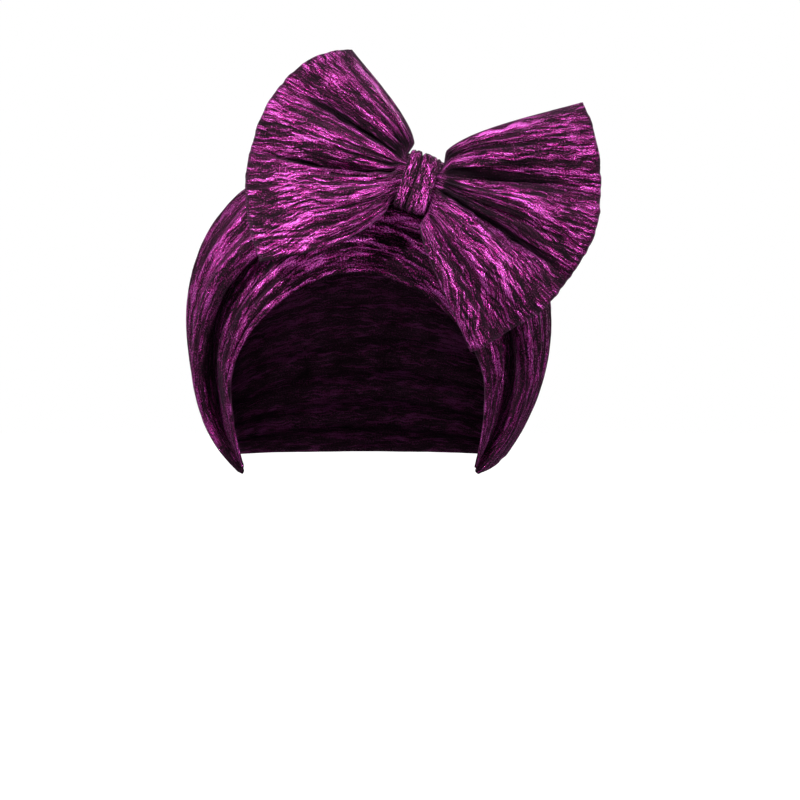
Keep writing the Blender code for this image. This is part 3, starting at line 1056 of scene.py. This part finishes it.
    def half_wall(self, middle: Floats, height: Floats, out: Floats, rim: Floats) -> Floats:
        """Return half the thickness along Y, oval in the neck and even out in the wing.

        Args:
            middle: Middle surface.
            height: Heights in the neck.
            out: Shares of the way out.
            rim: Distance to the nearest free edge.

        Returns:
            Half thickness at each point.
        """
        opened = smooth_step(*self.neck_fade, out)
        level = np.clip(height / self.place.half_height, -1.0, 1.0)
        bundle = np.maximum(self.place.half_depth * np.sqrt(1.0 - level ** 2), 0.5 * self.wall)
        facing = np.maximum(np.abs(outward(middle)[:, :, 1]), self.steepest)
        half = opened * (0.5 * self.wall) / facing + (1.0 - opened) * bundle
        return half * rounded(rim, 0.5 * self.wall)

    def gather_lift(self, along: Floats, across: Floats, out: Floats) -> Floats:
        """Return the gathers that leave the knot: ridges between creases, dying out on the way.

        Args:
            along: Distance along the fan lines.
            across: Distance down the outer edge.
            out: Shares of the way out.

        Returns:
            Their height at each point.
        """
        wander = drift(along / 30.0, across / 12.0, self.crinkle.seed + 9.0)
        share = across / across[-1:, :]
        turn = 2.0 * math.pi * (self.gathers * share + 0.45 * wander)
        fade = smooth_step(*self.gather_rise, out) * (1.0 - smooth_step(*self.gather_fade, out))
        return self.gather_height * (1.0 - 2.0 * np.abs(np.sin(0.5 * turn)) ** 1.3) * fade

    def crease_drop(self, along: Floats, across: Floats, spacing: Floats, out: Floats) -> Floats:
        """Return how far creases press the cloth back, each an exponential to either side.

        Args:
            along: Distance along the fan lines.
            across: Distance down the outer edge.
            spacing: Local distance between rows for each unit of that.
            out: Shares of the way out.

        Returns:
            Their depth at each point.
        """
        share = np.linspace(0.0, 1.0, len(across))
        drop = np.zeros_like(across)
        for number, crease in enumerate(self.creases):
            line = np.interp(crease.share, share, across[:, 0])
            wander = drift(along / self.crease_sway_run, 0.5, self.crinkle.seed + 20.0 + number)
            sway = self.crease_sway * wander
            offset = (across - line - sway) * spacing
            width = np.where(offset < 0.0, crease.above, crease.below)
            fade = smooth_step(*self.crease_rise, out) * (1.0 - smooth_step(*crease.fade, out))
            drop = drop + crease.depth * np.exp(-np.abs(offset) / width) * fade
        return drop

    def build(self) -> bpy.types.Object:
        """Build the wing.

        Creases press the middle surface back. Both faces lie before and behind it, further off
        where it is steep. Fine pleats, gathers and the groove of the hem then move both the same
        way along their normals.
        """
        middle, height, out = self.middle()
        along = run_along(middle)
        arc = run_along(middle[None, :, -1])[0]
        across = arc[:, None] + 0.0 * along
        spacing = np.linalg.norm(np.gradient(middle, axis=0), axis=2) / np.gradient(arc)[:, None]
        edge = np.minimum(across, arc[-1] - across) * spacing
        tip = along[:, -1:] - along
        relief = self.crinkle.relief(along, across)
        settled = smooth_step(*self.settle_over, np.minimum(edge, tip))
        settle = self.settle_least + (1.0 - self.settle_least) * settled
        groove = 1.0 - smooth_step(0.0, self.hem_groove, np.abs(tip - self.hem))
        lift = self.crinkle.height * relief * np.clip(1.15 * spacing, 0.0, 1.0) * settle
        drop = self.crease_drop(along, across, spacing, out)
        creased = middle + drop[:, :, None] * np.array([0.0, 1.0, 0.0])
        longer = (np.linalg.norm(np.diff(creased, axis=0), axis=2)
                  - np.linalg.norm(np.diff(middle, axis=0), axis=2))
        width = across + np.concatenate([0.0 * across[:1], np.cumsum(longer, axis=0)], axis=0)
        lift = lift - self.hem_depth * groove
        gathers = self.gather_lift(along, across, out)
        lift = lift + gathers * smooth_step(0.0, self.gather_edge, edge)
        half = self.half_wall(middle, height, out, np.minimum(edge, tip))
        shift = half[:, :, None] * np.array([0.0, 1.0, 0.0])
        top_edge, low_edge = across * spacing, (arc[-1] - across) * spacing
        worn = self.worn_edge * relief
        shown = smooth_step(0.8, self.bare_tip, tip + worn)
        shown = shown * smooth_step(0.4, self.bare_top, top_edge + worn)
        shown = shown * smooth_step(0.2, self.bare_low, low_edge)
        # The crest is lowered in the hem groove, which gives the groove painted crease shade and
        # less foil in the material.
        crest = (0.5 + 0.5 * relief) * (1.0 - 0.4 * groove)
        # Painted shade, rising with the depth of the creases.
        shaded = smooth_step(*self.shaded_from, drop)
        wave = drift(across / self.hem_wave_run, 0.0, self.crinkle.seed + 31.0)
        wave = wave * smooth_step(self.hem_wave_reach, 0.0, tip)
        outwards = np.gradient(middle, axis=1)
        outwards = outwards / np.linalg.norm(outwards, axis=2, keepdims=True)
        creased = creased + (self.hem_wave * wave)[:, :, None] * outwards
        order = slice(None, None, -1) if self.side is Side.RIGHT else slice(None)
        front, back = (
            ClothFace(self.raised(points, lift), along, width, crest, shaded,
                      1.0 - shown).picked(slice(None), order)
            for points in (creased - shift, creased + shift))
        shell = ClothShell(front, back, self.row_step, self.column_step)
        piece = shell.make(self.name, "bow_panel", "bow_foil_knit", self.knit_and_shade)
        return piece

    def raised(self, points: Floats, lift: Floats) -> Floats:
        """Return points moved towards the front along the grid's normals and set on the head."""
        front = outward(points) * -self.side.value
        return self.place.set_on_head(points + front * lift[:, :, None])


@dataclass
class BowKnot:
    """The strip wrapped round the neck of the bow, with folds that run along it."""

    place: KnotPlace = KnotPlace()
    gap: float = 0.4
    wall: float = 3.0
    half_width: float = 8.4
    grooves: tuple[tuple[float, float, float], ...] = (
        (-0.24, 1.5, 0.070), (-0.62, 0.35, 0.050), (0.70, 0.5, 0.060))
    groove_sway: float = 0.10
    groove_sway_run: float = 11.0
    bulge: float = 1.6
    edge_power: float = 0.8
    face_power: float = 0.6
    around: int = 240
    profile: int = 120
    crinkle: Crinkle = Crinkle(pitch=2.6, height=0.22, streak=12.0, wander=0.6, seed=51.0)
    # Slightly darker foil than the wings' on the same knit: painted shade on the knot.
    knit_and_shade: FoilKnit = FoilKnit(foil=(0.86, 0.140, 0.70), foil_from=0.38, foil_to=0.47,
                                streak=5.0, thread=0.6)

    def build(self) -> bpy.types.Object:
        """Build the knot.

        A flat strip section, rounded at its edges, is carried round the oval neck. Grooves, each
        a place across, a depth and a width in half widths, run along it as bell curves, and the
        fine pleats follow them. The wrap bulges upwards where it turns over the top.
        """
        turn = np.linspace(0.0, 2.0 * math.pi, self.around, endpoint=False)[:, None]
        spin = np.linspace(0.0, 2.0 * math.pi, self.profile, endpoint=False)[None, :]
        cos, sin = np.cos(spin), np.sin(spin)
        across = self.half_width * np.sign(cos) * np.abs(cos) ** self.edge_power + 0.0 * turn
        lift = 0.5 + 0.5 * np.sign(sin) * np.abs(sin) ** self.face_power
        girth = 0.5 * (self.place.half_height + self.place.half_depth) + self.wall
        along = girth * turn + 0.0 * spin
        outer = smooth_step(0.5, 0.9, lift)
        relief = self.crinkle.relief(along, across)
        level = across / self.half_width
        fold = 0.0 * level
        for number, (place, depth, width) in enumerate(self.grooves):
            sway = drift(along / self.groove_sway_run, 0.5, self.crinkle.seed + 5.0 + number)
            shifted = place + self.groove_sway * sway
            fold = fold + depth * np.exp(-((level - shifted) / width) ** 2)
        top = np.clip(np.sin(turn), 0.0, 1.0) ** 3
        puff = self.bulge * top * np.clip(1.0 - 0.45 * (level + 0.3), 0.0, 1.0)
        wall = self.gap + self.wall * lift + outer * (
            puff - fold * (1.0 + 0.4 * top) + self.crinkle.height * relief)
        rise = (self.place.half_height + wall) * np.sin(turn)
        out = (self.place.half_depth + wall) * np.cos(turn)
        up, right = self.place.axes()
        points = np.stack([rise * up[0] + across * right[0], -out,
                           rise * up[1] + across * right[1]], axis=2)
        points = self.place.set_on_head(points)
        rows, columns = points.shape[:2]
        index = np.arange(rows * columns).reshape(rows, columns)
        beside, below = np.roll(index, -1, axis=1), np.roll(index, -1, axis=0)
        quads = np.stack([index, below, np.roll(below, -1, axis=1), beside], axis=2)
        mesh = bpy.data.meshes.new("bow_knot_wrap")
        mesh.from_pydata((points.reshape(-1, 3) * MM).tolist(), [], quads.reshape(-1, 4).tolist())
        place = np.stack([along.ravel(), across.ravel()], axis=1)
        # On the knot the second look is painted shade in its grooves.
        looks = {"crest": (0.5 + 0.3 * relief).ravel(),
                 "shaded": smooth_step(0.3, 1.3, fold).ravel(),
                 "dull": 1.0 - np.broadcast_to(outer, along.shape).ravel()}
        piece = dress_mesh(mesh, place, looks, "bow_knot", self.knit_and_shade)
        return piece


@dataclass
class Bow:
    """The bow: two wings gathered in one knot."""

    left_folds: tuple[Fold, ...] = (
        Fold(0.00, 65.0, 82.0, 26.0, -3.0, 11.2, 8.0),
        Fold(0.13, 53.0, 87.2, 21.0, 9.0, 10.6, 5.5),
        Fold(0.29, 39.0, 90.2, 20.0, -9.0, 9.2, 1.0),
        Fold(0.42, 26.0, 89.8, 20.0, 7.0, 7.8, -2.0),
        Fold(0.56, 12.5, 89.4, 19.0, -9.0, 6.0, -5.5),
        Fold(0.61, 9.5, 89.6, 18.0, 3.0, 4.6, -5.5),
        Fold(0.80, -8.5, 89.6, 15.0, 10.0, -3.0, -6.5),
        Fold(1.00, -26.7, 90.6, 7.0, 1.0, -11.2, -8.5),
    )
    right_folds: tuple[Fold, ...] = (
        Fold(0.00, 27.4, 98.2, 22.0, -2.0, 11.2, 8.6),
        Fold(0.13, 13.5, 96.8, 20.0, 8.0, 10.0, 7.0),
        Fold(0.28, -1.0, 96.0, 21.0, -8.0, 8.0, 0.0),
        Fold(0.40, -13.0, 96.0, 20.0, 7.0, 5.4, -1.0),
        Fold(0.49, -21.5, 94.6, 20.0, 0.0, 3.2, 0.0),
        Fold(0.53, -25.5, 93.6, 20.0, 3.0, 2.0, 0.0),
        Fold(0.59, -31.5, 92.6, 21.0, -9.0, 0.4, 0.0),
        Fold(0.73, -45.0, 91.8, 20.0, 8.0, -4.6, -1.0),
        Fold(0.88, -59.5, 89.6, 22.0, -4.0, -8.6, -4.0),
        Fold(0.94, -66.0, 90.4, 21.0, 4.0, -10.0, -5.5),
        Fold(1.00, -72.4, 91.4, 22.0, -3.0, -11.2, -7.0),
    )
    left_creases: tuple[Crease, ...] = (
        Crease(0.300, 5.2, 8.0, 1.1, (0.55, 0.95)),
        Crease(0.46, 1.4, 2.2, 0.9, (0.35, 0.75)),
        Crease(0.575, 4.4, 3.6, 0.9, (0.55, 1.00)),
        Crease(0.69, 1.2, 2.0, 0.9, (0.45, 0.90)),
        Crease(0.90, 1.6, 2.6, 1.0, (0.40, 0.85)),
        Crease(0.17, 1.2, 2.2, 0.9, (0.40, 0.85)),
    )
    right_creases: tuple[Crease, ...] = (
        Crease(0.275, 4.8, 6.0, 1.1, (0.50, 0.95)),
        Crease(0.37, 1.3, 2.4, 0.9, (0.45, 0.90)),
        Crease(0.48, 1.6, 2.4, 0.9, (0.35, 0.80)),
        Crease(0.585, 6.0, 6.5, 1.0, (0.60, 1.00)),
        Crease(0.70, 1.6, 2.4, 0.9, (0.35, 0.80)),
        Crease(0.86, 2.4, 3.0, 1.1, (0.35, 0.90)),
        Crease(0.13, 1.2, 2.2, 0.9, (0.45, 0.90)),
    )
    knit_and_shade: FoilKnit = FoilKnit()

    def build(self) -> list[bpy.types.Object]:
        """Build the wings and the knot."""
        left = BowWing(Side.LEFT, "bow_left_wing", self.left_folds, self.left_creases, (0.47, 0.77),
                       Crinkle(4.0, 0.60, 24.0, 0.85, 5.0), self.knit_and_shade, (0.17, 0.09), 0.0105)
        right = BowWing(Side.RIGHT, "bow_right_wing", self.right_folds, self.right_creases,
                        (0.47, 0.45), Crinkle(4.0, 0.60, 24.0, 0.85, 13.0), self.knit_and_shade,
                        (0.19, 0.10), 0.0125)
        return [left.build(), right.build(), BowKnot().build()]


@dataclass(frozen=True)
class SoftBox:
    """A soft light.

    Attributes:
        name: Its name.
        place: Where it stands, in metres.
        aim: What it points at.
        size: Width and height in metres.
        power: Watts.
    """

    name: str
    place: tuple[float, float, float]
    aim: tuple[float, float, float]
    size: tuple[float, float]
    power: float

    def build(self) -> None:
        """Add the light."""
        data = bpy.data.lights.new(self.name, "AREA")
        data.shape = "RECTANGLE"
        data.size, data.size_y = self.size
        data.energy = self.power
        aim_at(add_object(self.name, data), self.place, self.aim)


def aim_at(thing: bpy.types.Object, place: Sequence[float], aim: Sequence[float]) -> None:
    """Stand a lamp or camera at a place and turn it to look at a point."""
    thing.location = place
    thing.rotation_euler = (Vector(aim) - Vector(place)).to_track_quat("-Z", "Y").to_euler()


@dataclass(frozen=True)
class Studio:
    """A pale floor, soft lights and the camera at the photograph's viewing angle."""

    camera_place: tuple[float, float, float] = (0.0236, -1.8, -0.1304)
    lens: float = 147.27
    sensor: float = 36.0
    floor_z: float = -0.46
    floor_radius: float = 30.0
    floor_sides: int = 64
    floor_colour: Colour = (0.86, 0.86, 0.86)
    sun_strength: float = 0.6
    sun_angle: float = 30.0
    sun_place: tuple[float, float, float] = (-0.8, -1.0, 2.0)
    sky: float = 0.12
    floor_glow: float = 0.95
    boxes: tuple[SoftBox, ...] = (
        SoftBox("key_box", (-0.85, -1.45, 0.85), (0.0, -0.02, -0.06), (0.24, 0.24), 52.0),
        SoftBox("fill_box", (1.5, -1.1, 0.10), (0.0, 0.0, -0.08), (0.3, 0.9), 28.0),
        SoftBox("side_box", (-1.6, -0.5, 0.05), (0.0, 0.0, -0.1), (0.4, 0.9), 8.0),
        SoftBox("low_box", (0.0, -1.5, -0.36), (0.0, 0.0, -0.1), (0.5, 0.2), 4.0),
        SoftBox("top_box", (0.1, -0.1, 1.5), (0.0, 0.0, 0.0), (0.8, 0.4), 8.0),
        SoftBox("back_box", (0.6, 1.5, 0.5), (0.0, 0.0, -0.08), (0.9, 0.9), 9.0),
    )

    def build(self) -> None:
        """Add the floor, the lights, the sky and the camera."""
        self.floor()
        for box in self.boxes:
            box.build()
        sun = bpy.data.lights.new("soft_sun", "SUN")
        sun.energy = self.sun_strength
        sun.angle = math.radians(self.sun_angle)
        aim_at(add_object("soft_sun", sun), self.sun_place, (0.0, 0.0, 0.0))
        self.world()
        self.camera()
        bpy.context.scene.view_settings.view_transform = "Standard"

    def floor(self) -> None:
        """Add a wide pale disc, which throws no light back on the hat."""
        turn = np.linspace(0.0, 2.0 * math.pi, self.floor_sides, endpoint=False)
        points = np.stack([self.floor_radius * np.cos(turn), self.floor_radius * np.sin(turn),
                           np.full(self.floor_sides, self.floor_z)], axis=1)
        mesh = bpy.data.meshes.new("studio_floor")
        mesh.from_pydata(points.tolist(), [], [list(range(self.floor_sides))])
        board = Board("floor_paint")
        board.surface({
            "Base Color": (*self.floor_colour, 1.0), "Roughness": 0.9,
            "Emission Color": (1.0, 1.0, 1.0, 1.0), "Emission Strength": self.floor_glow})
        mesh.materials.append(board.material)
        floor = add_object("studio_floor", mesh)
        floor.visible_diffuse = False
        floor.visible_glossy = False

    def world(self) -> None:
        """Set a plain white surround that lights the hat more softly than it shows."""
        world = bpy.data.worlds.new("studio_surround")
        bpy.context.scene.world = world
        world.use_nodes = True
        tree = world.node_tree
        tree.nodes.clear()
        path = tree.nodes.new("ShaderNodeLightPath")
        seen, lit = tree.nodes.new("ShaderNodeBackground"), tree.nodes.new("ShaderNodeBackground")
        seen.inputs["Color"].default_value = (1.0, 1.0, 1.0, 1.0)
        lit.inputs["Color"].default_value = (self.sky, self.sky, self.sky, 1.0)
        mix = tree.nodes.new("ShaderNodeMixShader")
        out = tree.nodes.new("ShaderNodeOutputWorld")
        tree.links.new(path.outputs["Is Camera Ray"], mix.inputs[0])
        tree.links.new(lit.outputs[0], mix.inputs[1])
        tree.links.new(seen.outputs[0], mix.inputs[2])
        tree.links.new(mix.outputs[0], out.inputs[0])

    def camera(self) -> None:
        """Add the camera: level, straight on to the face."""
        data = bpy.data.cameras.new("front_camera")
        data.lens = self.lens
        data.sensor_width = self.sensor
        camera = add_object("front_camera", data)
        x, y, z = self.camera_place
        aim_at(camera, (x, y, z), (x, y + 1.0, z))
        bpy.context.scene.camera = camera


def main() -> None:
    """Load the frame, build the hat's cloth round it and light it."""
    logging.basicConfig(level=logging.INFO, format="%(name)s: %(message)s")
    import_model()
    pieces = [Crown().build(), BrowBand().build(), *Bow().build()]
    for piece in pieces:
        LOG.info("%s: %d faces", piece.name, len(piece.data.polygons))
    Studio().build()


if __name__ == "__main__":
    main()
